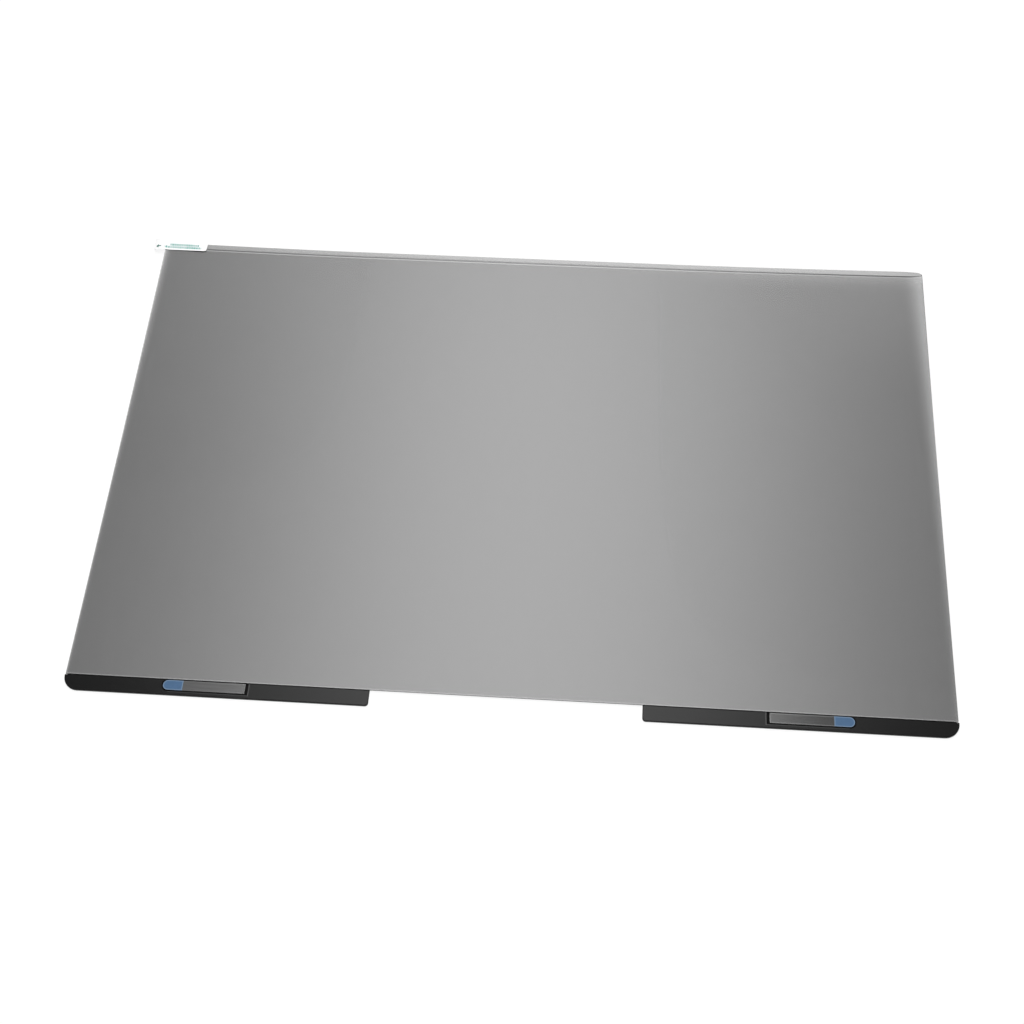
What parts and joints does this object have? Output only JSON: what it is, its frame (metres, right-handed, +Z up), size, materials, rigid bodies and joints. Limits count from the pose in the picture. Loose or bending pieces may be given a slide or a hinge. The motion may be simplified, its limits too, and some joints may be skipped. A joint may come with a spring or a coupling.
{
  "type": "laptop privacy filter",
  "caption": "Flat privacy filter panel under a peel-off film, with magnetic bars either side of a webcam gap that park adhesive steel plates for a laptop's bezel.",
  "frame": {"origin": "middle of the panel's webcam edge, at the panel's underside, where the laptop's webcam comes", "axes": "+X along the webcam edge, to the right in the picture; +Y from the webcam edge across the panel; +Z up, towards the laptop's screen in use"},
  "size_m": [0.3074, 0.1999, 0.0012],
  "materials": {
    "louvre_panel": "dark grey micro-louvre film with a satin sheen",
    "clear_film": "clear peel-off film",
    "label_paper": "coated white label with green print",
    "black_plastic": "fine moulded grain",
    "black_tape": "double-sided foam tape",
    "magnet_nickel": "nickel plated",
    "plate_steel": "thin rolled steel",
    "grey_liner": "satin release liner",
    "blue_tab": "satin pull tab"
  },
  "bodies": {
    "root": {"privacy_panel": "louvre_panel", "protective_film": "clear_film", "film_pull_tab": "label_paper", "left_attachment_bar": "black_plastic", "right_attachment_bar": "black_plastic", "left_bond_tape": "black_tape", "right_bond_tape": "black_tape", "left_magnet": "magnet_nickel", "right_magnet": "magnet_nickel", "left_bezel_plate": "plate_steel", "right_bezel_plate": "plate_steel", "left_plate_adhesive": "black_tape", "right_plate_adhesive": "black_tape", "left_release_liner": "grey_liner", "right_release_liner": "grey_liner", "left_liner_tab": "blue_tab", "right_liner_tab": "blue_tab"}
  },
  "joints": []
}
